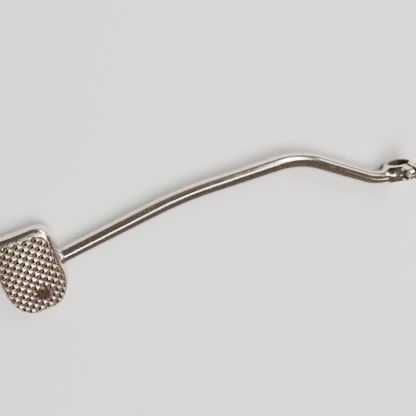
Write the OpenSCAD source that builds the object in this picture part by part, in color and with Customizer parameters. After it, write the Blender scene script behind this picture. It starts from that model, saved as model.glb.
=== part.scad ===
// Foot lever for a motorcycle: a bent round bar with a chequered foot pad
// welded to one end and a split, serrated clamp boss welded to the other.
// The boss is closed onto its shaft by a pinch bolt.
//
// Frame, in millimetres: the origin is on the shaft axis, half way along the
// boss. +Y runs along the shaft axis, -X points from the boss to the foot pad,
// and +Z points out of the pad's tread, which is the side the foot presses.

/* [Foot pad] */
// Distance along X from the shaft axis to the middle of the foot pad
pad_reach = 258; // [256:0.5:259]
// Distance along Y from the boss middle to the middle of the foot pad
pad_offset = 21.35; // [20:0.05:22]
// Width of the pad at its base, along the bar
pad_w = 37; // [36.5:0.5:38]
// Length of the pad at its base, across the bar
pad_l = 49.8; // [49:0.2:52]
// Radius of the two corners of the pad's base on the +Y side
pad_corner = 9.5; // [8:0.5:12]
// Radius of the two corners of the pad's base on the -Y side
pad_heel_corner = 14.5; // [12:0.5:15]
// Distance that each side of the pad draws in towards the -Y end
pad_taper = 1.4; // [0:0.1:2]
// Height of the underside below the bar's middle plane
pad_under = 5.4; // [5.2:0.1:7]
// Height of the middle of the tread's groove floor above the bar's middle plane
pad_crown = 6.8; // [6.5:0.1:8]
// Radius of the sphere that the tread is domed to
dome_r = 141; // [100:1:400]
// Angle that the pad is turned about Z
pad_turn = 2.6; // [0:0.1:5]
// Thickness of the pad's side walls around the hollow underside
pad_wall = 4; // [3:0.25:5]
// Depth of the hollow in the underside
pad_hollow = 6; // [2:0.5:6.5]

/* [Tread] */
// Width of the chequered area
tread_w = 31.4; // [30:0.2:32]
// Length of the chequered area
tread_l = 42.2; // [40:0.2:44]
// Distance that the chequered area sits off the pad's middle, along its length
tread_shift = -1.7; // [-2:0.05:0]
// Distance that the chequered area sits off the pad's middle, across its width
tread_side = -0.6; // [-0.8:0.1:0]
// Radius of the two corners of the chequered area on the +Y side
tread_corner = 6; // [4:0.5:7]
// Radius of the two corners of the chequered area on the -Y side
tread_heel_corner = 8.5; // [7:0.5:9.5]
// Spacing of the pyramids
tread_pitch = 3.69; // [3.5:0.01:5]
// Height of each pyramid
tread_h = 1.4; // [0.6:0.1:1.8]
// Angle of the rows of pyramids to the pad's own sides
tread_angle = 45; // [40:1:50]

/* [Bar] */
// Diameter of the bar at the foot pad
bar_d_pad = 9.4; // [8.8:0.1:9.8]
// Diameter of the bar at the shallow bend
bar_d_mid = 10.3; // [10:0.1:10.6]
// Diameter of the bar at the main bend
bar_d_bend = 10.9; // [10.7:0.1:11.2]
// Diameter of the bar at the boss
bar_d_boss = 10.2; // [9.8:0.1:10.4]
// Angle of the bend next to the boss
boss_bend = 31.4; // [31:0.1:32]
// Radius of the bend next to the boss
boss_bend_r = 41; // [40:0.5:42]
// Length of the straight between the boss bend and the main bend
straight_c = 39.1; // [38.5:0.1:40]
// Angle of the main bend
main_bend = 30.8; // [30.4:0.1:31.2]
// Radius of the main bend
main_bend_r = 60; // [58:0.5:62]
// Length of the straight between the main bend and the shallow bend
straight_b = 47.7; // [46:0.1:49]
// Angle of the shallow bend
soft_bend = 9; // [8.5:0.1:9.5]
// Radius of the shallow bend
soft_bend_r = 260; // [250:1:270]
// Length of the straight that runs into the foot pad
straight_a = 61.8; // [61.2:0.1:62.4]

/* [Clamp boss] */
// Length of the boss along the shaft
boss_l = 11.5; // [11:0.1:13]
// Outside diameter of the boss
boss_d = 20.6; // [20:0.1:23]
// Diameter over the roots of the serrations in the bore
bore_root_d = 14.7; // [14.2:0.1:15]
// Diameter over the crests of the serrations, which is the bore that grips
bore_crest_d = 13.7; // [13.2:0.1:13.9]
// Number of serrations around the bore
serrations = 36; // [24:1:40]
// Width of the slit through the boss
slit_w = 1.6; // [1.2:0.1:2]
// Distance from the shaft axis to the pinch bolt axis
bolt_z = 12.5; // [12.3:0.1:13.5]
// Radius of the rounded end of each clamp ear
ear_r = 5; // [4.8:0.1:5.6]
// Distance from the slit's middle plane to the tapped ear's outer face
ear_tapped = 5; // [4.6:0.1:5.4]
// Distance from the slit's middle plane to the plain ear's outer face
ear_plain = 4.8; // [4.6:0.1:5.2]

/* [Pinch bolt] */
// Nominal thread diameter of the pinch bolt
bolt_d = 6; // [6:0.5:6]
// Length of the pinch bolt under its head
bolt_l = 12; // [12:1:12]
// Width across the flats of the pinch bolt's head
head_af = 10; // [9:0.5:10]
// Height of the pinch bolt's head
head_h = 4; // [3.5:0.1:4.5]
// Outside diameter of the plain washer
plain_washer_d = 11; // [10:0.5:11.5]
// Outside diameter of the lock washer
lock_washer_d = 9.9; // [9.4:0.1:10.5]
// Thickness of each washer
washer_t = 1.6; // [1.6:0.1:1.6]

/* [Hidden] */
$fn = 96;
eps = 0.01;

// Running gap between faces that slide or turn on each other
gap = 0.02;

// Start of the bar, inside the boss wall, heading along -X
p0 = [-8.6, -1.3];
h0 = 180;
// Unit vector along a heading, and its left-hand normal
function dir(h) = [cos(h), sin(h)];
function left(h) = [-sin(h), cos(h)];
// Each bend's middle and end, then each straight's end, along the bar
c1 = p0 - boss_bend_r * left(h0);
h1 = h0 - boss_bend;
p1 = c1 + boss_bend_r * left(h1);
p2 = p1 + straight_c * dir(h1);
c2 = p2 + main_bend_r * left(h1);
h2 = h1 + main_bend;
p3 = c2 - main_bend_r * left(h2);
p4 = p3 + straight_b * dir(h2);
c3 = p4 + soft_bend_r * left(h2);
h3 = h2 + soft_bend;
p5 = c3 - soft_bend_r * left(h3);
p6 = p5 + straight_a * dir(h3);

// Faces along the pinch bolt, from the plain ear outwards
x_plain = ear_plain + gap;
x_lock = x_plain + washer_t + gap;
x_head = x_lock + washer_t + gap;

// The bar's cross-sections, each as middle, heading and diameter
sections = concat(
    [for (i = [0 : 9]) let (h = h0 - boss_bend * i / 9)
        [c1 + boss_bend_r * left(h), h, bar_d_boss]],
    [for (i = [0 : 10]) let (h = h1 + main_bend * i / 10)
        [c2 - main_bend_r * left(h), h, bar_d_bend]],
    [for (i = [0 : 4]) let (h = h2 + soft_bend * i / 4)
        [c3 - soft_bend_r * left(h), h, bar_d_mid]],
    [[p6, h3, bar_d_pad]]);
sides = 40;

// The whole bar before its end at the boss is trimmed
module bar() {
    n = len(sections);
    points = [for (s = sections, k = [0 : sides - 1])
        let (t = 360 * k / sides, q = s[0] + s[2] / 2 * cos(t) * left(s[1]))
            [q[0], q[1], s[2] / 2 * sin(t)]];
    skin = [for (i = [0 : n - 2], k = [0 : sides - 1])
        let (m = (k + 1) % sides)
            [(i + 1) * sides + k, (i + 1) * sides + m, i * sides + m, i * sides + k]];
    first = [[for (k = [0 : sides - 1]) k]];
    last = [[for (k = [0 : sides - 1]) n * sides - 1 - k]];
    polyhedron(points = points, faces = concat(skin, first, last), convexity = 6);
}

// A solid cylinder along Y, centred on the shaft axis
module along_y(d, len) {
    rotate([90, 0, 0]) cylinder(d = d, h = len, center = true);
}

module lever_arm() {
    color("silver") difference() {
        bar();
        along_y(boss_d, boss_l * 3);
    }
}

// The boss barrel, with both rims broken by a chamfer
module barrel() {
    c = 0.9;
    r = boss_d / 2;
    h = boss_l / 2;
    rotate([90, 0, 0]) rotate_extrude()
        polygon([[0, -h], [r - c, -h], [r, -h + c], [r, h - c], [r - c, h], [0, h]]);
}

// The clamp ears between two planes along X, as one rounded tab
module ears(xa, xb) {
    translate([xa, -0.94 * ear_r, 2]) cube([xb - xa, 1.88 * ear_r, bolt_z - 2]);
    translate([xa, 0, bolt_z]) rotate([0, 90, 0]) cylinder(r = ear_r, h = xb - xa);
}

// Star-shaped cutter for the serrations: its points reach the roots, and its
// inner corners stay inside the crests, so round lands are left between roots
module star(len) {
    root_r = bore_root_d / 2;
    inner_r = root_r - (bore_root_d - bore_crest_d) / 2 / 0.55;
    step = 360 / serrations;
    rotate([90, 0, 0]) translate([0, 0, -len / 2]) linear_extrude(height = len)
        polygon([for (i = [0 : serrations - 1], k = [0 : 1])
            let (r = k == 0 ? root_r : inner_r, t = (i + k / 2 + 0.25) * step)
                [r * cos(t), r * sin(t)]]);
}

module clamp_boss() {
    color("silver") difference() {
        union() {
            barrel();
            ears(-ear_tapped, ear_plain);
        }
        along_y(bore_crest_d, boss_l * 2);
        star(boss_l * 2 + 2);
        // Slit from the bore out between the ears
        translate([-slit_w / 2, -boss_l, 1]) cube([slit_w, 2 * boss_l, bolt_z + 2 * ear_r]);
        // Tapped hole, its countersink, the plain hole and the washers' seat
        translate([-20, 0, bolt_z]) rotate([0, 90, 0]) cylinder(d = bolt_d, h = 20);
        translate([-ear_tapped - 0.6, 0, bolt_z]) rotate([0, 90, 0])
            cylinder(d1 = bolt_d + 2.4, d2 = bolt_d - 0.1, h = 1.25);
        translate([0, 0, bolt_z]) rotate([0, 90, 0]) cylinder(d = bolt_d + 0.6, h = 20);
        translate([ear_plain, 0, bolt_z]) rotate([0, 90, 0])
            cylinder(r = 6, h = 20);
    }
}

// A flat plate with round corners, from z0 up: ra on the +Y side, rb on the -Y,
// where its sides also draw in
module plate(w, l, ra, rb, z0, t) {
    translate([0, 0, z0]) hull()
        for (sx = [-1, 1]) {
            translate([sx * (w / 2 - ra), l / 2 - ra, 0]) cylinder(r = ra, h = t, $fn = 40);
            translate([sx * (w / 2 - 4), -l * 0.1, 0]) cylinder(r = 4, h = t, $fn = 40);
            translate([sx * (w / 2 - rb - pad_taper), rb - l / 2, 0]) cylinder(r = rb, h = t, $fn = 48);
        }
}

// One level of the pad's outside, drawn in by d from its base
module level(d, z0, t) {
    translate([0, -d / 4, 0])
        plate(pad_w - 2 * d, pad_l - 1.5 * d, pad_corner - d, pad_heel_corner - 1.7 * d, z0, t);
}

// Places things in the pad's own turned frame
module at_pad() {
    translate([-pad_reach, pad_offset, 0]) rotate([0, 0, pad_turn]) children();
}

// A ball whose top is the tread's dome, with its highest point at height z
module dome(z) {
    translate([tread_side, tread_shift, z - dome_r]) sphere(r = dome_r, $fn = 180);
}

// The pad's outside: upright walls that roll over at the top into a smooth rim
module pad_shell() {
    intersection() {
        hull() {
            level(0.8, -pad_under, 0.5);
            level(0, 0.8 - pad_under, pad_under);
            level(0.5, 3.4, 0.4);
            level(1.5, 5.4, 0.4);
            level(2.7, 6.8, 0.2);
            level(3.5, pad_crown + tread_h - 0.8, 0.8);
        }
        dome(pad_crown + tread_h);
    }
}

// One blunt-topped pyramid standing on the dome at u, v from the tread's middle
module pyramid(u, v) {
    sag = dome_r - sqrt(dome_r * dome_r - u * u - v * v);
    translate([u + tread_side, v + tread_shift, pad_crown - sag - 0.35])
        rotate([0, 0, tread_angle + 45])
            cylinder(r1 = tread_pitch / sqrt(2) * 0.97, r2 = 0.22, h = tread_h + 0.25, $fn = 4);
}

// Whether a point lies inside the chequered area
function in_tread(u, v) =
    let (a = tread_w / 2 - 0.4, b = tread_l / 2 - 0.4,
         r = (v > 0 ? tread_corner : tread_heel_corner) - 0.4)
    abs(u) < a && abs(v) < b
    && (abs(u) < a - r || abs(v) < b - r
        || pow(abs(u) - a + r, 2) + pow(abs(v) - b + r, 2) < r * r);

module foot_pad() {
    n = ceil(tread_l / tread_pitch);
    color("gainsboro") at_pad() difference() {
        union() {
            difference() {
                pad_shell();
                // Sunk floor of the tread, open at the heel and on the far side
                difference() {
                    union() {
                        translate([tread_side, tread_shift, 0])
                            plate(tread_w, tread_l, tread_corner, tread_heel_corner, 2, 20);
                        translate([-pad_w, -pad_l, 2]) cube([2 * pad_w, pad_l - tread_l * 0.27, 20]);
                        translate([-pad_w, -pad_l, 2]) cube([pad_w, pad_l + tread_l * 0.2, 20]);
                    }
                    dome(pad_crown);
                }
            }
            intersection() {
                union() for (i = [-n : n], j = [-n : n])
                    let (x = i * tread_pitch - 1.55, y = j * tread_pitch + 1.7,
                         u = x * cos(tread_angle) - y * sin(tread_angle),
                         v = x * sin(tread_angle) + y * cos(tread_angle))
                        if (in_tread(u, v)) pyramid(u, v);
                pad_shell();
            }
        }
        // Hollow underside
        plate(pad_w - 2 * pad_wall - 1, pad_l - 2 * pad_wall - 1,
              pad_corner - pad_wall, pad_heel_corner - pad_wall, -pad_under - 1, pad_hollow + 1);
        // Hole that the end of the bar goes into
        rotate([0, 0, -pad_turn]) translate([pad_reach, -pad_offset, 0])
            translate([p6[0] + dir(h3)[0], p6[1] + dir(h3)[1], 0])
                rotate([0, 0, h3 + 180]) rotate([0, 90, 0])
                    cylinder(d = bar_d_pad + 0.2, h = 22);
    }
}

// Weld around the bar where it goes into the pad's wall
module pad_weld() {
    q = p6 - 1.6 * dir(h3);
    color("silver") difference() {
        translate([q[0], q[1], 0]) rotate([0, 0, h3 + 180]) rotate([0, 90, 0])
            cylinder(h = 4.2, d1 = bar_d_pad + 4, d2 = bar_d_pad + 0.8);
        bar();
        at_pad() pad_shell();
    }
}

// Weld collar around the bar where it meets the boss
module boss_weld() {
    color("silver") difference() {
        intersection() {
            translate([-14.2, p0[1] + 0.4, 0]) rotate([0, 90, 0])
                cylinder(h = 8, d1 = bar_d_boss + 0.8, d2 = bar_d_boss + 6);
            translate([-20, -boss_l / 2, -10]) cube([20, boss_l, 20]);
        }
        bar();
        along_y(boss_d, boss_l * 3);
    }
}

module pinch_bolt() {
    color("darkgray") translate([x_head, 0, bolt_z]) rotate([0, 90, 0]) {
        intersection() {
            cylinder(d = head_af / cos(30), h = head_h, $fn = 6);
            cylinder(d1 = head_af / cos(30) + 6, d2 = head_af - 0.4, h = head_h + 0.9);
        }
        translate([0, 0, -bolt_l + 0.8]) cylinder(d = bolt_d - 0.1, h = bolt_l - 0.4);
        translate([0, 0, -bolt_l]) cylinder(d1 = bolt_d - 1.7, d2 = bolt_d - 0.1, h = 0.8);
    }
}

module plain_washer() {
    color("lightgray") translate([x_plain, 0, bolt_z]) rotate([0, 90, 0]) difference() {
        cylinder(d = plain_washer_d, h = washer_t);
        translate([0, 0, -1]) cylinder(d = bolt_d + 0.4, h = washer_t + 2);
    }
}

// Split ring, drawn closed flat as it is when the bolt is tight
module lock_washer() {
    color("gray") translate([x_lock, 0, bolt_z]) rotate([0, 90, 0]) difference() {
        cylinder(d = lock_washer_d, h = washer_t);
        translate([0, 0, -1]) cylinder(d = bolt_d + 0.2, h = washer_t + 2);
        translate([0, 4.4, washer_t / 2]) rotate([0, 25, 0])
            cube([0.7, 4, 2 * washer_t + 2], center = true);
    }
}

lever_arm();
clamp_boss();
foot_pad();
pad_weld();
boss_weld();
pinch_bolt();
lock_washer();
plain_washer();
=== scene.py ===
"""Foot lever: a bent plated bar with a chequered foot pad and a serrated clamp boss.

Every visible piece is built here as its own closed mesh. The forged and welded
pieces are signed distance fields turned into quads, so that their fillets, worn
edges, pyramids, serrations and threads are real geometry. Lengths in this file
are millimetres until mesh_object() turns them into metres.
"""

import math

import bmesh
import bpy
import numpy as np
from mathutils import Matrix, Vector


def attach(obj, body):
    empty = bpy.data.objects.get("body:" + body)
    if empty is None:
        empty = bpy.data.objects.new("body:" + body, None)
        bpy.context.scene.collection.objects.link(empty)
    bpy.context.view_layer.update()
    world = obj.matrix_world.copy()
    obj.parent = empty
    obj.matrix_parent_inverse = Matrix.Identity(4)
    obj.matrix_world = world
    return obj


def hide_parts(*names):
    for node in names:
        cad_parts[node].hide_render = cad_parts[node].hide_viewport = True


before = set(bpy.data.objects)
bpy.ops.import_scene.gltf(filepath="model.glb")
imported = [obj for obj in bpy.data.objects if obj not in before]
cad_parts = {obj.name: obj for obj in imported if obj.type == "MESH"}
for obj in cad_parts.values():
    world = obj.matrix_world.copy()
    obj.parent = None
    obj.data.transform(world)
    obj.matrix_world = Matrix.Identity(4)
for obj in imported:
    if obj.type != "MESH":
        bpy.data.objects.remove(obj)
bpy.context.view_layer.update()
MM = 0.001

# --------------------------------------------------------------- fields

def smin(a, b, k):
    h = np.maximum(k - np.abs(a - b), 0.0) / k
    return np.minimum(a, b) - h * h * k * 0.25


def smax(a, b, k):
    return -smin(-a, -b, k)


def waves(x, y, z, scale, seed):
    """Smooth, repeatable unevenness between about -1 and 1; scale is its size in mm."""
    rng = np.random.RandomState(seed)
    out = 0.0
    for _ in range(5):
        d = rng.normal(size=3)
        d = d / np.linalg.norm(d) * (2 * math.pi / scale) * rng.uniform(0.7, 1.5)
        out = out + np.sin(d[0] * x + d[1] * y + d[2] * z + rng.uniform(0, 6.28))
    return out / 3.2


def surface_nets(f, lo, hi, h):
    """Quads around the zero set of f, with their corners then drawn onto it."""
    lo = np.asarray(lo, float)
    n = np.ceil((np.asarray(hi, float) - lo) / h).astype(int) + 1
    ax = [lo[a] + h * np.arange(n[a]) for a in range(3)]
    F = np.empty(n, np.float32)
    for i in range(0, n[0], 16):
        X, Y, Z = np.meshgrid(ax[0][i:i + 16], ax[1], ax[2], indexing="ij")
        F[i:i + 16] = f(X, Y, Z)
    S = F < 0
    cnt = np.zeros(n - 1, np.int8)
    for a in (0, 1):
        for b in (0, 1):
            for c in (0, 1):
                cnt += S[a:n[0] - 1 + a, b:n[1] - 1 + b, c:n[2] - 1 + c]
    act = (cnt > 0) & (cnt < 8)
    cells = np.argwhere(act)
    index = np.full(act.shape, -1, np.int64)
    index[act] = np.arange(len(cells))
    acc = np.zeros((len(cells), 3))
    num = np.zeros(len(cells))
    for axis in range(3):
        e = np.zeros(3, int)
        e[axis] = 1
        others = [a for a in range(3) if a != axis]
        for a in (0, 1):
            for b in (0, 1):
                o = np.zeros(3, int)
                o[others[0]], o[others[1]] = a, b
                q0 = cells + o
                q1 = q0 + e
                f0 = F[q0[:, 0], q0[:, 1], q0[:, 2]].astype(float)
                f1 = F[q1[:, 0], q1[:, 1], q1[:, 2]].astype(float)
                hit = (f0 < 0) != (f1 < 0)
                t = f0[hit] / (f0[hit] - f1[hit])
                acc[hit] += q0[hit] + t[:, None] * e
                num[hit] += 1
    V = lo + h * acc / num[:, None]
    quads = []
    for axis in range(3):
        b, c = (axis + 1) % 3, (axis + 2) % 3
        s0 = np.take(S, range(n[axis] - 1), axis)
        s1 = np.take(S, range(1, n[axis]), axis)
        at = np.argwhere(s0 != s1)
        at = at[(at[:, b] > 0) & (at[:, c] > 0) & (at[:, b] < n[b] - 1) & (at[:, c] < n[c] - 1)]
        ring = []
        for db, dc in ((-1, -1), (0, -1), (0, 0), (-1, 0)):
            q = at.copy()
            q[:, b] += db
            q[:, c] += dc
            ring.append(index[q[:, 0], q[:, 1], q[:, 2]])
        ring = np.stack(ring, 1)
        flip = ~s0[at[:, 0], at[:, 1], at[:, 2]]
        ring[flip] = ring[flip][:, ::-1]
        quads.append(ring)
    quads = np.concatenate(quads)
    for _ in range(4):
        v, g = f(*V.T), gradient(f, V)
        step = v / np.maximum((g * g).sum(1), 0.05)
        step = np.clip(step * np.linalg.norm(g, axis=1), -h, h) / np.maximum(np.linalg.norm(g, axis=1), 1e-6)
        V = V - step[:, None] * g
    return V, quads


def gradient(f, V, e=0.015):
    g = np.empty_like(V)
    for a in range(3):
        p, m = V.copy(), V.copy()
        p[:, a] += e
        m[:, a] -= e
        g[:, a] = (f(*p.T) - f(*m.T)) / (2 * e)
    return g


# --------------------------------------------------------------- pieces

def mesh_object(name, V, faces, body, nodes, material, attrs=None):
    me = bpy.data.meshes.new(name)
    V = np.asarray(V, float) * MM
    if isinstance(faces, np.ndarray):
        me.vertices.add(len(V))
        me.vertices.foreach_set("co", V.ravel().astype(np.float32))
        me.loops.add(faces.size)
        me.loops.foreach_set("vertex_index", faces.ravel().astype(np.int32))
        me.polygons.add(len(faces))
        me.polygons.foreach_set("loop_start", np.arange(0, faces.size, faces.shape[1], dtype=np.int32))
        me.polygons.foreach_set("loop_total", np.full(len(faces), faces.shape[1], dtype=np.int32))
        me.update(calc_edges=True)
        me.validate()
    else:
        me.from_pydata(V.tolist(), [], faces)
        me.update()
    ob = bpy.data.objects.new(name, me)
    bpy.context.scene.collection.objects.link(ob)
    finish_piece(ob, body, nodes, material, attrs)
    return ob


def finish_piece(ob, body, nodes, material, attrs=None):
    me = ob.data
    me.polygons.foreach_set("use_smooth", np.ones(len(me.polygons), bool))
    for key, values in (attrs or {}).items():
        at = me.attributes.new(key, "FLOAT", "POINT")
        at.data.foreach_set("value", np.asarray(values, np.float32))
    me.materials.clear()
    me.materials.append(material)
    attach(ob, body)
    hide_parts(*nodes)


def sharpen(ob, degrees):
    """Edges that turn by more than this are shaded as edges."""
    bm = bmesh.new()
    bm.from_mesh(ob.data)
    lim = math.radians(degrees)
    for e in bm.edges:
        if len(e.link_faces) == 2 and e.calc_face_angle(0) > lim:
            e.smooth = False
    bm.to_mesh(ob.data)
    bm.free()


def cut(V, quads, planes):
    """The part of a mesh on the kept side of every (point, normal) plane, capped flat; the cap's rim is a sharp edge."""
    bm = bmesh.new()
    vs = [bm.verts.new(p) for p in V.tolist()]
    for q in quads.tolist():
        try:
            bm.faces.new([vs[i] for i in q])
        except ValueError:
            pass
    for p, n in planes:
        geom = bm.verts[:] + bm.edges[:] + bm.faces[:]
        bmesh.ops.bisect_plane(bm, geom=geom, dist=1e-6, plane_co=p, plane_no=n,
                               clear_inner=True, clear_outer=False)
    rim = [e for e in bm.edges if e.is_boundary]
    for e in rim:
        e.smooth = False
    made = bmesh.ops.holes_fill(bm, edges=rim, sides=0)
    bmesh.ops.triangulate(bm, faces=[f for f in made["faces"] if len(f.verts) > 4])
    bmesh.ops.recalc_face_normals(bm, faces=bm.faces[:])
    bm.verts.index_update()
    W = np.array([v.co[:] for v in bm.verts])
    me = bpy.data.meshes.new("cut")
    bmesh.ops.scale(bm, vec=(MM, MM, MM), verts=bm.verts[:])
    bm.to_mesh(me)
    bm.free()
    return me, W


# --------------------------------------------------------------- the bar's path

def hdir(h):
    return np.array([math.cos(math.radians(h)), math.sin(math.radians(h))])


def hleft(h):
    return np.array([-math.sin(math.radians(h)), math.cos(math.radians(h))])


P0, H0 = np.array([-8.6, -1.3]), 180.0
C1 = P0 - 41 * hleft(H0)
H1 = H0 - 31.4
P1 = C1 + 41 * hleft(H1)
P2 = P1 + 39.1 * hdir(H1)
C2 = P2 + 60 * hleft(H1)
H2 = H1 + 30.8
P3 = C2 - 60 * hleft(H2)
P4 = P3 + 47.7 * hdir(H2)
C3 = P4 + 260 * hleft(H2)
H3 = H2 + 9
P5 = C3 - 260 * hleft(H3)
P6 = P5 + 61.8 * hdir(H3)
CUT_ANGLE = 10.0            # where the welded neck ends and the plain bar starts


def bar_path():
    pts, heads, dia, s, run = [], [], [], [], 0.0

    def put(p, h, d):
        nonlocal run
        if pts:
            run += float(np.linalg.norm(np.array(p) - pts[-1]))
        pts.append(np.array(p))
        heads.append(h)
        dia.append(d)
        s.append(run)

    for k in range(28):
        h = H0 - CUT_ANGLE - (31.4 - CUT_ANGLE) * k / 27
        put(C1 + 41 * hleft(h), h, 10.2)
    for k in range(1, 30):
        put(P1 + (P2 - P1) * k / 30, H1, 10.2 + 0.7 * k / 30)
    for k in range(41):
        h = H1 + 30.8 * k / 40
        put(C2 - 60 * hleft(h), h, 10.9)
    for k in range(1, 34):
        put(P3 + (P4 - P3) * k / 34, H2, 10.9 - 0.6 * k / 34)
    for k in range(31):
        h = H2 + 9 * k / 30
        put(C3 - 260 * hleft(h), h, 10.3)
    for k in range(1, 46):
        put(P5 + (P6 - P5) * k / 45, H3, 10.3 - 0.9 * k / 45)
    s = np.array(s)
    dia = np.array(dia)
    w = np.exp(-0.5 * ((s[:, None] - s[None, :]) / 5.0) ** 2)
    soft = (w * dia).sum(1) / w.sum(1)
    edge = np.clip(s / 8.0, 0, 1)
    dia = dia + (soft - dia) * edge
    return np.array(pts), np.array(heads), dia, s


def build_bar(material):
    pts, heads, dia, s = bar_path()
    m = 112
    t = 2 * math.pi * np.arange(m) / m
    L = np.stack([-np.sin(np.radians(heads)), np.cos(np.radians(heads))], 1)
    r = dia / 2
    x = pts[:, 0, None] + r[:, None] * np.cos(t) * L[:, 0, None]
    y = pts[:, 1, None] + r[:, None] * np.cos(t) * L[:, 1, None]
    z = r[:, None] * np.sin(t) * np.ones_like(x)
    V = np.stack([x, y, z], -1).reshape(-1, 3)
    n = len(pts)
    i = np.arange(n - 1)[:, None] * m
    k = np.arange(m)[None, :]
    q = np.stack([i + m + k, i + m + (k + 1) % m, i + (k + 1) % m, i + k], -1).reshape(-1, 4)
    faces = q.tolist()
    V = np.concatenate([V, [[*pts[0], 0.0]], [[*pts[-1], 0.0]]])
    a, b = n * m, n * m + 1
    faces += [[(j + 1) % m, j, a] for j in range(m)]
    faces += [[(n - 1) * m + j, (n - 1) * m + (j + 1) % m, b] for j in range(m)]
    ob = mesh_object("lever_arm_bar", V, faces, "lever", ["lever_arm"], material)
    bm = bmesh.new()
    bm.from_mesh(ob.data)
    bmesh.ops.recalc_face_normals(bm, faces=bm.faces[:])
    bm.to_mesh(ob.data)
    bm.free()
    sharpen(ob, 60)
    return ob


def bar_field(x, y, z):
    """The bar where it comes out of the boss: a straight start, then its first bend."""
    rho = np.hypot(x - C1[0], y - C1[1])
    bend = np.hypot(rho - 41, z) - 5.1
    start = np.hypot(y - P0[1], z) - 5.1
    return np.where(x > P0[0], np.maximum(start, x + 4.0), bend)


# --------------------------------------------------------------- clamp boss

def boss_field(x, y, z):
    rho = np.hypot(x, z)
    barrel = smax(rho - 10.3, np.abs(y) - 5.75, 1.5)
    tab = np.hypot(y, z - np.clip(z, 2, 12.5)) - 5.0
    ear = smax(tab, np.abs(x + 0.1) - 4.9, 1.0)
    body = smin(barrel, ear, 2.0)
    f = smin(body, bar_field(x, y, z), 4.6)
    f = f + 0.03 * waves(x, y, z, 7.0, 3)
    # Serrated bore with broken rims
    turn = np.degrees(np.arctan2(z, x)) / 10 - 0.25
    w = np.abs((turn + 0.5) % 1 - 0.5) * 2
    rb = np.maximum(6.85, 7.35 - 0.909 * w)
    f = smax(f, (rb - rho) * 0.8, 0.12)
    f = smax(f, (7.65 - (5.75 - np.abs(y)) - rho) * 0.7, 0.15)
    # Slit out between the ears
    f = smax(f, -np.maximum(np.abs(x) - 0.8, 1 - z), 0.35)
    # Tapped hole with its countersink on one side, plain hole and washer seat on the other
    dy, dz = y, z - 12.5
    rh = np.hypot(dy, dz)
    thread = 0.22 * np.abs((x - np.arctan2(dz, dy) / (2 * math.pi)) % 1 * 2 - 1)
    hole = np.where(x < 0, 3.0 + thread, 3.3)
    f = smax(f, (hole - rh) * 0.9, 0.12)
    f = smax(f, np.where(x < 0, np.minimum((3.7 - (x + 5.0) - rh) * 0.7, 3.75 - rh), -1.0), 0.4)
    f = smax(f, -np.maximum(rh - 6.0, 4.8 - x), 0.3)
    return f


def build_boss(material):
    h = 0.15
    V, quads = surface_nets(boss_field, (-17.6, -8.2, -11.4), (11.2, 6.8, 18.4), h)
    head = hdir(H0 - CUT_ANGLE)
    q = C1 + 41 * hleft(H0 - CUT_ANGLE)
    neck = ((q[0], q[1], 0.0), (-head[0], -head[1], 0.0))
    wall = (-10.7, 0.0, 0.0)

    me, W = cut(V, quads, [(wall, (1.0, 0.0, 0.0))])
    boss = bpy.data.objects.new("clamp_boss_body", me)
    bpy.context.scene.collection.objects.link(boss)
    rho = np.hypot(W[:, 0], W[:, 2])
    rh = np.hypot(W[:, 1], W[:, 2] - 12.5)
    bore = np.clip((7.62 - rho) / 0.2, 0, 1)
    hole = np.clip((3.45 - rh) / 0.15, 0, 1)
    slit = np.clip((1.15 - np.abs(W[:, 0])) / 0.2, 0, 1) * (W[:, 2] > 0)
    finish_piece(boss, "lever", ["clamp_boss"], material,
                 {"bare": np.maximum(bore, np.maximum(hole, slit))})

    me, W = cut(V, quads, [(wall, (-1.0, 0.0, 0.0)), neck])
    weld = bpy.data.objects.new("boss_weld_neck", me)
    bpy.context.scene.collection.objects.link(weld)
    finish_piece(weld, "lever", ["boss_weld"], material,
                 {"bare": np.zeros(len(W))})
    return boss, weld


# --------------------------------------------------------------- foot pad

PT = math.radians(2.6)
PC, PS = math.cos(PT), math.sin(PT)
PAD_X, PAD_Y = -259.0, 20.25


def rbox(u, v, a, b, ra, rb):
    r = np.where(v > 0, ra, rb)
    qx, qy = np.abs(u) - a + r, np.abs(v) - b + r
    return np.hypot(np.maximum(qx, 0), np.maximum(qy, 0)) + np.minimum(np.maximum(qx, qy), 0) - r


def outline(u, v, ins):
    """The pad's outline once its base is drawn in by ins; its sides also draw in at the heel."""
    top, bot = 26.0 - ins, -23.8 + 0.5 * ins
    s = np.clip((-v - 5) / 15, 0, 1)
    s = s * s * (3 - 2 * s)
    uu = (u - 1.0) / (1 - np.where(u > 1.0, 0.15, 0.11) * s)
    return rbox(uu, v - (top + bot) / 2, 18.5 - ins, (top - bot) / 2,
                np.maximum(9.5 - ins, 3.0), np.maximum(14.5 - 1.7 * ins, 5.0))


def tread_mask(u, v):
    """1 where the grooves have their full depth, falling to 0 at the smooth rim."""
    d = rbox(u - 0.4, v + 0.6, 15.7, 21.1, 6.0, 8.5)
    open_heel = np.maximum(v + 10.5, np.abs(u - 0.4) - 30)
    open_side = np.maximum(v - 8.0, u - 0.4)
    d = np.minimum(d, np.minimum(open_heel, open_side))
    return np.clip(0.5 - d / 0.9, 0, 1)


def lattice(u, v):
    """Each point's place within its pyramid, as two numbers from -1 to 1."""
    k = math.sqrt(0.5)
    du, dv = u - 0.4, v + 0.6
    p = (du * k + dv * k + 1.55) / 3.69
    q = (-du * k + dv * k - 1.70) / 3.69
    return (p - np.round(p)) * 2, (q - np.round(q)) * 2


def rust_mask(u, v):
    """The dirty, corroded spot near the heel of the tread."""
    a = (u - 2.6) / 5.6
    b = (v + 12.6) / 4.6
    return np.clip(1.25 - np.sqrt(a * a + b * b) + 0.28 * waves(u, v, 0 * u, 2.6, 11), 0, 1)


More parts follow.
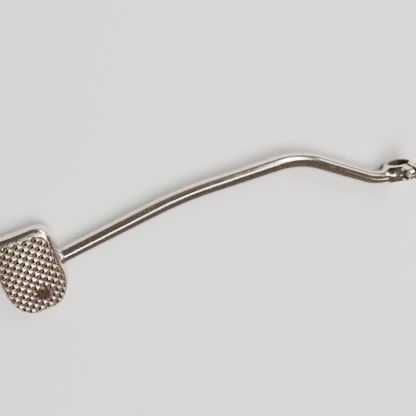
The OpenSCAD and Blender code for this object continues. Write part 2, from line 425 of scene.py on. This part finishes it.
def pad_field(u, v, z):
    ins = 6.5 * (1 - np.sqrt(1 - np.clip((z - 0.8) / 7.4, 0, 0.998) ** 2))
    side = outline(u, v, ins)
    foot = -5.4 - z
    body = smax(side, foot, 1.5)
    r2 = (u - 0.4) ** 2 + (v + 0.6) ** 2
    top = 8.2 - r2 / 282
    body = smax(body, (z - top), 1.4)
    body = body + 0.035 * waves(u, v, z, 9.0, 5)
    # V grooves between the pyramids
    p, q = lattice(u, v)
    edge = smax(np.abs(p), np.abs(q), 0.10)
    rust = rust_mask(u, v)
    blunt = 0.16 + 0.05 * waves(u, v, 0 * u, 11.0, 8)
    depth = 1.42 * smax(edge, blunt + 0 * edge, 0.12)
    depth = depth - 1.42 * 0.16
    depth = np.minimum(depth, 1.42 * 0.78 + 0.04 * waves(u, v, z, 5.0, 21))
    depth = depth * (1 - 0.28 * rust) + rust * 0.14 * (1 + waves(u, v, z, 0.9, 33))
    groove = (z - (top - depth * 1.0 * tread_mask(u, v))) * 0.8
    f = smax(body, groove, 0.10)
    # Hollow underside
    cav = outline(u, v, 4.5 + 0.12 * (z + 5.4))
    cav = smax(cav, z - 0.6, 2.2)
    return smax(f, -cav, 0.9)


def build_pad(material):
    h = 0.21
    V, quads = surface_nets(pad_field, (-20.1, -26.8, -6.0), (20.1, 26.8, 8.9), h)
    u, v, z = V.T
    p, q = lattice(u, v)
    top = 8.2 - ((u - 0.4) ** 2 + (v + 0.6) ** 2) / 282
    mask = tread_mask(u, v) * (z > 2.5)
    shown = mask * np.clip((z - top + 3.0) / 1.0, 0, 1) * np.clip(-(outline(u, v, 0.9 + 0 * u)) / 0.8, 0, 1)
    deep = np.maximum(np.abs(p), np.abs(q)) * mask
    W = np.stack([PAD_X + u * PC - v * PS, PAD_Y + u * PS + v * PC, z], 1)
    under = ((z < 0.9) & (outline(u, v, 3.7 + 0 * u) < 0)).astype(float)
    return mesh_object("foot_pad_tread", W, quads, "lever", ["foot_pad"], material,
                       {"groove": deep * shown, "tread": shown, "rust": rust_mask(u, v) * (z > 2.5), "under": under})


def build_pad_weld(material):
    """A run of weld with a soft, slightly uneven foot, around the bar at the pad's wall."""
    d = -hdir(H3)
    n = np.array([-d[1], d[0]])
    # how far along the bar from its end the wall stands
    ends = np.linspace(0, 8, 400)
    pts = P6[None, :] + ends[:, None] * d
    u = (pts[:, 0] - PAD_X) * PC + (pts[:, 1] - PAD_Y) * PS
    v = -(pts[:, 0] - PAD_X) * PS + (pts[:, 1] - PAD_Y) * PC
    s0 = float(np.interp(0, pad_field(u, v, 0 * u), ends))
    m = 96
    t = 2 * math.pi * np.arange(m) / m
    prof = [(s0 - 1.2, 4.2), (s0 - 1.2, 5.4), (s0 - 0.3, 5.4)]
    for k in range(17):
        a = k / 16
        prof.append((s0 + 0.05 + 2.2 * a, 4.73 + 0.62 * (1 - a) ** 2.0))
    prof.append((s0 + 2.4, 4.2))
    rings = []
    for s, r in prof:
        ripple = 1 + (0.018 * np.sin(9 * t + 0.7) + 0.012 * np.sin(5 * t)) * (1 if r > 5 else 0)
        rr = r * ripple
        q = P6 + s * d
        rings.append(np.stack([q[0] + rr * np.cos(t) * n[0], q[1] + rr * np.cos(t) * n[1], rr * np.sin(t)], 1))
    V = np.concatenate(rings)
    c = len(prof)
    faces = [[i * m + k, i * m + (k + 1) % m, ((i + 1) % c) * m + (k + 1) % m, ((i + 1) % c) * m + k]
             for i in range(c) for k in range(m)]
    ob = mesh_object("pad_weld_bead", V, faces, "lever", ["pad_weld"], material)
    bm = bmesh.new()
    bm.from_mesh(ob.data)
    bmesh.ops.recalc_face_normals(bm, faces=bm.faces[:])
    bm.to_mesh(ob.data)
    bm.free()
    sharpen(ob, 50)
    return ob


# --------------------------------------------------------------- bolt and washers

X_PLAIN, X_LOCK, X_HEAD, BOLT_Z = 4.82, 6.44, 8.06, 12.5


def bolt_field(x, y, z):
    dy, dz = y, z - BOLT_Z
    r = np.hypot(dy, dz)
    ang = np.arctan2(dz, dy)
    # Hexagon with its corners along Z, crowned at the top
    hexd = np.maximum(np.abs(dy), np.maximum(np.abs(0.5 * dy + 0.8660254 * dz), np.abs(0.5 * dy - 0.8660254 * dz))) - 4.98
    head = smax(hexd, r + (x - (X_HEAD + 4.0)) * 1.73 - 4.75, 0.12)
    head = smax(head, x - (X_HEAD + 3.98), 0.25)
    head = smax(head, X_HEAD - x, 0.2)
    # Shallow dish in the top of the head
    head = smax(head, -(np.hypot(r * 0.45, x - (X_HEAD + 5.35)) - 1.6), 0.3)
    # Coarse thread, running out under the head, with a lead chamfer at the tip
    saw = np.abs(((x - ang / (2 * math.pi)) % 1.0) * 2 - 1)
    run = np.clip((X_HEAD - 1.6 - x) / 0.8, 0, 1)
    shank = (r - 2.95 + 0.52 * (1 - saw) * run) * 0.8
    shank = smax(shank, x - (X_HEAD + 1), 0.1)
    shank = smax(shank, (X_HEAD - 12.0) - x + r * r / 18, 0.2)
    shank = smax(shank, (r - 2.2 - (x - (X_HEAD - 12.0)) * 1.0) * 0.7, 0.15)
    return smin(head, shank, 0.25)


def plain_field(x, y, z):
    r = np.hypot(y, z - BOLT_Z)
    f = smax(r - 5.5, np.abs(x - X_PLAIN - 0.8) - 0.8, 0.3)
    f = smax(f, 3.2 - r, 0.2)
    return f


def lock_field(x, y, z):
    r = np.hypot(y, z - BOLT_Z)
    f = smax(r - 4.95, np.abs(x - X_LOCK - 0.8) - 0.8, 0.25)
    f = smax(f, 3.1 - r, 0.15)
    # The cut, leaning across the ring's thickness
    k = math.radians(25)
    a = (z - BOLT_Z) * math.cos(k) + (x - X_LOCK - 0.8) * math.sin(k)
    gap = np.maximum(np.abs(a) - 0.35, 2.0 - y)
    return smax(f, -gap, 0.12)


def build_fixings(mat_bolt, mat_washer):
    h = 0.105
    V, q = surface_nets(bolt_field, (X_HEAD - 12.4, -6.2, 6.3), (X_HEAD + 4.4, 6.2, 18.7), h)
    V[:, 0] = np.clip(V[:, 0], X_HEAD - 12, X_HEAD + 4)
    mesh_object("pinch_bolt_hex", V, q, "bolt", ["pinch_bolt"], mat_bolt)
    V, q = surface_nets(plain_field, (X_PLAIN - 0.3, -5.9, 6.6), (X_PLAIN + 1.9, 5.9, 18.4), h)
    mesh_object("plain_washer_ring", V, q, "washers", ["plain_washer"], mat_washer)
    V, q = surface_nets(lock_field, (X_LOCK - 0.3, -5.4, 7.1), (X_LOCK + 1.9, 5.4, 17.9), h)
    mesh_object("lock_washer_ring", V, q, "washers", ["lock_washer"], mat_washer)


# --------------------------------------------------------------- materials

class Graph:
    """A short way to write node graphs."""

    def __init__(self, name):
        self.mat = bpy.data.materials.new(name)
        self.mat.use_nodes = True
        self.tree = self.mat.node_tree
        self.tree.nodes.clear()
        self.out = self.tree.nodes.new("ShaderNodeOutputMaterial")

    def node(self, kind, props=None, **inputs):
        n = self.tree.nodes.new(kind)
        for k, v in (props or {}).items():
            setattr(n, k, v)
        for k, v in inputs.items():
            key = int(k[1:]) if k[0] == "_" and k[1:].isdigit() else k.replace("_", " ")
            self.feed(n.inputs[key], v)
        return n

    def feed(self, socket, v):
        if isinstance(v, bpy.types.NodeSocket):
            self.tree.links.new(v, socket)
        else:
            socket.default_value = v

    def math(self, op, a, b=0.0, c=None, clamp=False):
        n = self.node("ShaderNodeMath", {"operation": op, "use_clamp": clamp})
        self.feed(n.inputs[0], a)
        self.feed(n.inputs[1], b)
        if c is not None:
            self.feed(n.inputs[2], c)
        return n.outputs[0]

    def coords(self, scale=(1, 1, 1), turn=(0, 0, 0)):
        tc = self.node("ShaderNodeTexCoord")
        mp = self.node("ShaderNodeMapping")
        self.feed(mp.inputs["Vector"], tc.outputs["Object"])
        mp.inputs["Scale"].default_value = scale
        mp.inputs["Rotation"].default_value = turn
        return mp.outputs[0]

    def noise(self, scale, detail=4.0, rough=0.55, coords=None, distortion=0.0):
        n = self.node("ShaderNodeTexNoise")
        self.feed(n.inputs["Vector"], coords if coords is not None else self.coords())
        n.inputs["Scale"].default_value = scale
        n.inputs["Detail"].default_value = detail
        n.inputs["Roughness"].default_value = rough
        n.inputs["Distortion"].default_value = distortion
        return n.outputs["Fac"] if "Fac" in n.outputs else n.outputs[0]

    def ramp(self, fac, stops, mode="LINEAR"):
        n = self.node("ShaderNodeValToRGB")
        n.color_ramp.interpolation = mode
        el = n.color_ramp.elements
        while len(el) < len(stops):
            el.new(0.5)
        for e, (p, c) in zip(el, stops):
            e.position = p
            e.color = c if len(c) == 4 else (*c, 1)
        self.feed(n.inputs[0], fac)
        return n.outputs["Color"]

    def grey(self, fac, lo, hi):
        """0 below lo and 1 above hi."""
        n = self.node("ShaderNodeMapRange", {"clamp": True, "interpolation_type": "SMOOTHSTEP"})
        self.feed(n.inputs["Value"], fac)
        n.inputs["From Min"].default_value = lo
        n.inputs["From Max"].default_value = hi
        return n.outputs[0]

    def mix(self, fac, a, b, blend="MIX"):
        n = self.node("ShaderNodeMix", {"data_type": "RGBA", "blend_type": blend})
        self.feed(n.inputs[0], fac)
        self.feed(n.inputs[6], a if isinstance(a, bpy.types.NodeSocket) or len(a) == 4 else (*a, 1))
        self.feed(n.inputs[7], b if isinstance(b, bpy.types.NodeSocket) or len(b) == 4 else (*b, 1))
        return n.outputs[2]

    def lerp(self, fac, a, b):
        n = self.node("ShaderNodeMix", {"data_type": "FLOAT"})
        self.feed(n.inputs[0], fac)
        self.feed(n.inputs[2], a)
        self.feed(n.inputs[3], b)
        return n.outputs[0]

    def attr(self, name):
        n = self.node("ShaderNodeAttribute", {"attribute_name": name})
        return n.outputs["Fac"]

    def bump(self, height, strength, distance, normal=None):
        n = self.node("ShaderNodeBump")
        n.inputs["Strength"].default_value = strength
        n.inputs["Distance"].default_value = distance
        self.feed(n.inputs["Height"], height)
        if normal is not None:
            self.feed(n.inputs["Normal"], normal)
        return n.outputs[0]

    def surface(self, color, metallic, roughness, normal=None):
        n = self.node("ShaderNodeBsdfPrincipled")
        self.feed(n.inputs["Base Color"], color if isinstance(color, bpy.types.NodeSocket) or len(color) == 4 else (*color, 1))
        self.feed(n.inputs["Metallic"], metallic)
        self.feed(n.inputs["Roughness"], roughness)
        if normal is not None:
            self.feed(n.inputs["Normal"], normal)
        self.tree.links.new(n.outputs[0], self.out.inputs["Surface"])
        return self.mat


def plated(name, rough=0.13, pits=0.5, haze=0.5, kind="plain"):
    """Old bright plating: warm, hazed in places, finely scratched and pitted."""
    g = Graph(name)
    broad = g.noise(38, 3, 0.5)
    mid = g.noise(210, 5, 0.6)
    fine = g.noise(1400, 4, 0.6)
    # Pits: small dark specks, thicker where the plating is tired
    speck = g.noise(820, 2, 0.5)
    where = g.grey(broad, 0.42, 0.72)
    pit = g.math("MULTIPLY", g.grey(speck, 0.70, 0.76), g.math("MULTIPLY_ADD", where, 0.8, 0.2), clamp=True)
    pit = g.math("MULTIPLY", pit, pits, clamp=True)
    # Scratches: long thin streaks in two directions
    s1 = g.noise(1, 2, 0.5, g.coords((60, 2600, 2600), (0, 0, 0.35)))
    s2 = g.noise(1, 2, 0.5, g.coords((2100, 90, 2100), (0, 0.2, -0.5)))
    scratch = g.math("MAXIMUM", g.grey(s1, 0.66, 0.70), g.grey(s2, 0.68, 0.72))
    worn = g.grey(g.node("ShaderNodeNewGeometry").outputs["Pointiness"], 0.505, 0.56)
    # Concave creases (pointiness below 0.5) get a painted shade: the colour is darkened there towards brown-black.
    crease_shade = g.grey(g.node("ShaderNodeNewGeometry").outputs["Pointiness"], 0.495, 0.44)
    tone = g.mix(g.grey(mid, 0.35, 0.7), (0.80, 0.765, 0.715), (0.70, 0.655, 0.60))
    tone = g.mix(g.math("MULTIPLY", g.grey(broad, 0.45, 0.7), 0.5 * haze), tone, (0.60, 0.545, 0.48))
    tone = g.mix(g.math("MULTIPLY", worn, 0.35), tone, (0.90, 0.88, 0.84))
    tone = g.mix(g.math("MULTIPLY", crease_shade, 0.55), tone, (0.17, 0.125, 0.085))
    tone = g.mix(pit, tone, (0.13, 0.085, 0.055))
    ro = g.math("MULTIPLY_ADD", g.grey(mid, 0.3, 0.75), 0.10, rough)
    ro = g.math("MULTIPLY_ADD", g.grey(broad, 0.4, 0.75), 0.14 * haze, ro)
    ro = g.math("MULTIPLY_ADD", scratch, 0.12, ro)
    ro = g.math("MULTIPLY_ADD", pit, 0.45, ro)
    metal = g.math("SUBTRACT", 1.0, g.math("MULTIPLY", pit, 0.7), clamp=True)
    if kind == "boss":
        bare = g.attr("bare")
        oil = g.mix(g.grey(g.noise(420, 5, 0.6), 0.35, 0.65), (0.15, 0.122, 0.08), (0.34, 0.285, 0.20))
        tone = g.mix(bare, tone, oil)
        ro = g.lerp(bare, ro, g.math("MULTIPLY_ADD", mid, 0.3, 0.34))
        metal = g.math("SUBTRACT", metal, g.math("MULTIPLY", bare, 0.55), clamp=True)
    if kind == "pad":
        groove, tread, rust, under = g.attr("groove"), g.attr("tread"), g.attr("rust"), g.attr("under")
        # Tread: duller, browner, with grime lying in the grooves; the grime's dark tone also paints shade into the
        # groove bottoms
        tone = g.mix(g.math("MULTIPLY", tread, 0.9), tone, g.mix(mid, (0.58, 0.50, 0.44), (0.45, 0.37, 0.315)))
        ro = g.math("MULTIPLY_ADD", tread, 0.05, ro)
        grime_and_shade = g.math("MULTIPLY", g.grey(groove, 0.62, 1.02), g.math("MULTIPLY_ADD", mid, 0.9, 0.25), clamp=True)
        tone = g.mix(g.math("MULTIPLY", grime_and_shade, 0.75), tone, (0.13, 0.08, 0.05))
        ro = g.math("MULTIPLY_ADD", grime_and_shade, 0.35, ro)
        # Rust and baked-on dirt
        spot = g.grey(g.math("ADD", rust, g.math("MULTIPLY_ADD", g.noise(900, 4, 0.65), 0.7, -0.35)), 0.18, 0.55)
        crust = g.mix(g.noise(1300, 4, 0.6), (0.020, 0.012, 0.007), (0.085, 0.047, 0.022))
        tone = g.mix(g.math("MULTIPLY", spot, 0.96), tone, crust)
        ro = g.lerp(spot, ro, 0.72)
        metal = g.math("SUBTRACT", metal, g.math("MULTIPLY", spot, 0.9), clamp=True)
        metal = g.math("SUBTRACT", metal, g.math("MULTIPLY", grime_and_shade, 0.45), clamp=True)
        # Underside: never polished, so grey and rough
        tone = g.mix(under, tone, g.mix(mid, (0.30, 0.27, 0.24), (0.42, 0.38, 0.34)))
        ro = g.lerp(under, ro, 0.5)
    nrm = g.bump(broad, 0.10, 0.0006)
    nrm = g.bump(mid, 0.10 + (0.03 if kind == "pad" else 0), 0.00018, nrm)
    nrm = g.bump(fine, 0.10, 0.00004, nrm)
    nrm = g.bump(g.math("SUBTRACT", 1.0, scratch), 0.15, 0.00002, nrm)
    nrm = g.bump(g.math("SUBTRACT", 1.0, pit), 0.5, 0.00008, nrm)
    return g.surface(tone, metal, ro, nrm)


def zinc(name, base, rough):
    """Dull zinc plate on small steel fixings, with turning marks and whitish bloom."""
    g = Graph(name)
    broad, mid = g.noise(160, 4, 0.6), g.noise(700, 5, 0.6)
    turn = g.node("ShaderNodeTexWave", {"wave_type": "RINGS", "rings_direction": "X"})
    tc = g.node("ShaderNodeTexCoord")
    mp = g.node("ShaderNodeMapping")
    g.feed(mp.inputs["Vector"], tc.outputs["Object"])
    mp.inputs["Location"].default_value = (0, 0, -BOLT_Z * MM)
    g.feed(turn.inputs["Vector"], mp.outputs[0])
    turn.inputs["Scale"].default_value = 900
    turn.inputs["Distortion"].default_value = 1.2
    worn = g.grey(g.node("ShaderNodeNewGeometry").outputs["Pointiness"], 0.51, 0.58)
    # Concave creases, such as the thread roots, get a painted shade: the colour is darkened there almost to black.
    crease_shade = g.grey(g.node("ShaderNodeNewGeometry").outputs["Pointiness"], 0.49, 0.42)
    tone = g.mix(g.grey(broad, 0.35, 0.7), base, tuple(c * 0.72 for c in base))
    tone = g.mix(g.math("MULTIPLY", g.grey(mid, 0.6, 0.75), 0.4), tone, (0.72, 0.71, 0.68))
    tone = g.mix(g.math("MULTIPLY", worn, 0.5), tone, (0.78, 0.76, 0.73))
    tone = g.mix(g.math("MULTIPLY", crease_shade, 0.7), tone, (0.10, 0.075, 0.05))
    ro = g.math("MULTIPLY_ADD", g.grey(broad, 0.3, 0.8), 0.2, rough)
    nrm = g.bump(turn.outputs["Fac"], 0.12, 0.00003)
    nrm = g.bump(mid, 0.2, 0.00006, nrm)
    return g.surface(tone, 1.0, ro, nrm)


def floor_material():
    g = Graph("floor_matt")
    tone = g.mix(g.noise(6, 3, 0.5), (0.78, 0.775, 0.765), (0.83, 0.825, 0.815))
    return g.surface(tone, 0.0, 0.62, g.bump(g.noise(900, 3, 0.5), 0.04, 0.0001))


# --------------------------------------------------------------- build

mat_bar = plated("plated_bar_worn", 0.10, 0.45, 0.5)
mat_boss = plated("plated_boss_worn", 0.12, 0.5, 0.5, "boss")
mat_pad = plated("plated_pad_worn", 0.11, 0.4, 0.5, "pad")
mat_weld = plated("plated_weld_worn", 0.22, 0.6, 0.9)
mat_bolt = zinc("bolt_zinc", (0.60, 0.52, 0.36), 0.30)
mat_washer = zinc("washer_zinc", (0.50, 0.49, 0.46), 0.34)

build_bar(mat_bar)
build_boss(mat_boss)
build_pad(mat_pad)
build_pad_weld(mat_weld)
build_fixings(mat_bolt, mat_washer)

# --------------------------------------------------------------- floor, light, camera

SLOPE = 4.9 / 278.0


me = bpy.data.meshes.new("floor")
R = 6.0
me.from_pydata([(-R, -R, (-10.32 + SLOPE * R / MM) * MM), (R, -R, (-10.32 - SLOPE * R / MM) * MM),
                (R, R, (-10.32 - SLOPE * R / MM) * MM), (-R, R, (-10.32 + SLOPE * R / MM) * MM)],
               [], [(0, 1, 2, 3)])
floor = bpy.data.objects.new("floor", me)
bpy.context.scene.collection.objects.link(floor)
me.materials.append(floor_material())


def area(name, at, look, size, power, color=(1, 1, 1)):
    li = bpy.data.lights.new(name, "AREA")
    li.shape = "RECTANGLE"
    li.size, li.size_y = size
    li.energy = power
    li.color = color
    ob = bpy.data.objects.new(name, li)
    d = (Vector(look) - Vector(at)).normalized()
    ob.rotation_euler = d.to_track_quat("-Z", "Y").to_euler()
    ob.location = at
    bpy.context.scene.collection.objects.link(ob)
    return ob


key = area("key_strip", (0.33, 0.36, 1.0), (0.33, 0.36, 0.0), (1.75, 0.14), 4.4, (1.0, 0.985, 0.96))
key.rotation_euler = (0, 0, math.radians(37))
area("end_window", (-0.43, -0.12, 1.0), (-0.26, 0.02, 0.0), (0.20, 0.10), 0.8, (1.0, 0.97, 0.90))
tall = area("far_window", (0.67, 0.75, 0.92), (-0.25, 0.02, 0.0), (0.80, 0.36), 8.6, (1.0, 0.985, 0.96))
tall_back = Vector((0.92, 0.73, 0.92)).normalized()
tall_along = Vector((-0.10, 0.78, -0.565))
tall_along = (tall_along - tall_along.dot(tall_back) * tall_back).normalized()
tall.rotation_euler = Matrix((tall_along, tall_back.cross(tall_along), tall_back)).transposed().to_euler()
area("side", (0.80, 0.30, 0.40), (0.0, 0.0, 0.0), (0.24, 0.20), 0.4, (1.0, 0.98, 0.94))
# Small warm card: it shows only as a reflection
card = area("warm_card", (0.58, -0.45, 0.72), (0.0, 0.0, 0.01), (0.09, 0.12), 0.22, (1.0, 0.90, 0.62))
card.visible_diffuse = False
fill = area("fill_low", (-0.05, -0.55, 1.15), (-0.13, 0.0, 0.0), (0.9, 0.8), 19.0, (0.985, 0.985, 1.0))
fill.visible_glossy = False

world = bpy.data.worlds.new("studio")
bpy.context.scene.world = world
world.use_nodes = True
nt = world.node_tree
nt.nodes.clear()
out = nt.nodes.new("ShaderNodeOutputWorld")
bg = nt.nodes.new("ShaderNodeBackground")
tc = nt.nodes.new("ShaderNodeTexCoord")
sep = nt.nodes.new("ShaderNodeSeparateXYZ")
rp = nt.nodes.new("ShaderNodeValToRGB")
nt.links.new(tc.outputs["Generated"], sep.inputs[0])
nt.links.new(sep.outputs["Z"], rp.inputs[0])
stops = [(0.0, (0.27, 0.245, 0.225, 1)), (0.12, (0.26, 0.225, 0.20, 1)), (0.45, (0.19, 0.158, 0.135, 1)), (1.0, (0.13, 0.105, 0.09, 1))]
while len(rp.color_ramp.elements) < len(stops):
    rp.color_ramp.elements.new(0.5)
for e, (p, c) in zip(rp.color_ramp.elements, stops):
    e.position, e.color = p, c
# The room is darker and browner beyond the pad
dot = nt.nodes.new("ShaderNodeVectorMath")
dot.operation = "DOT_PRODUCT"
dot.inputs[1].default_value = (-0.87, 0.49, 0.0)
nt.links.new(tc.outputs["Generated"], dot.inputs[0])
shade = nt.nodes.new("ShaderNodeMapRange")
shade.interpolation_type = "SMOOTHSTEP"
shade.inputs["From Min"].default_value = 0.40
shade.inputs["From Max"].default_value = 0.90
nt.links.new(dot.outputs["Value"], shade.inputs["Value"])
dim = nt.nodes.new("ShaderNodeMix")
dim.data_type = "RGBA"
dim.blend_type = "MULTIPLY"
dim.inputs[7].default_value = (0.36, 0.29, 0.24, 1)
nt.links.new(shade.outputs[0], dim.inputs[0])
nt.links.new(rp.outputs[0], dim.inputs[6])
nt.links.new(dim.outputs[2], bg.inputs["Color"])
bg.inputs["Strength"].default_value = 1.0
nt.links.new(bg.outputs[0], out.inputs[0])

cam_data = bpy.data.cameras.new("camera")
cam_data.sensor_fit = "HORIZONTAL"
cam_data.sensor_width = 36.0
cam_data.lens = 38.94
cam_data.clip_start = 0.01
cam = bpy.data.objects.new("camera", cam_data)
back = Vector((-0.2343, 0.3271, 0.9155)).normalized()
right = Vector((0.9167, -0.2391, 0.3201))
right = (right - right.dot(back) * back).normalized()
up = back.cross(right)
rot = Matrix((right, up, back)).transposed()
cam.matrix_world = Matrix.Translation((-0.2137, 0.11515, 0.2628)) @ rot.to_4x4()
bpy.context.scene.collection.objects.link(cam)
bpy.context.scene.camera = cam

bpy.context.scene.view_settings.view_transform = "AgX"
try:
    bpy.context.scene.view_settings.look = "AgX - Medium High Contrast"
except TypeError:
    pass
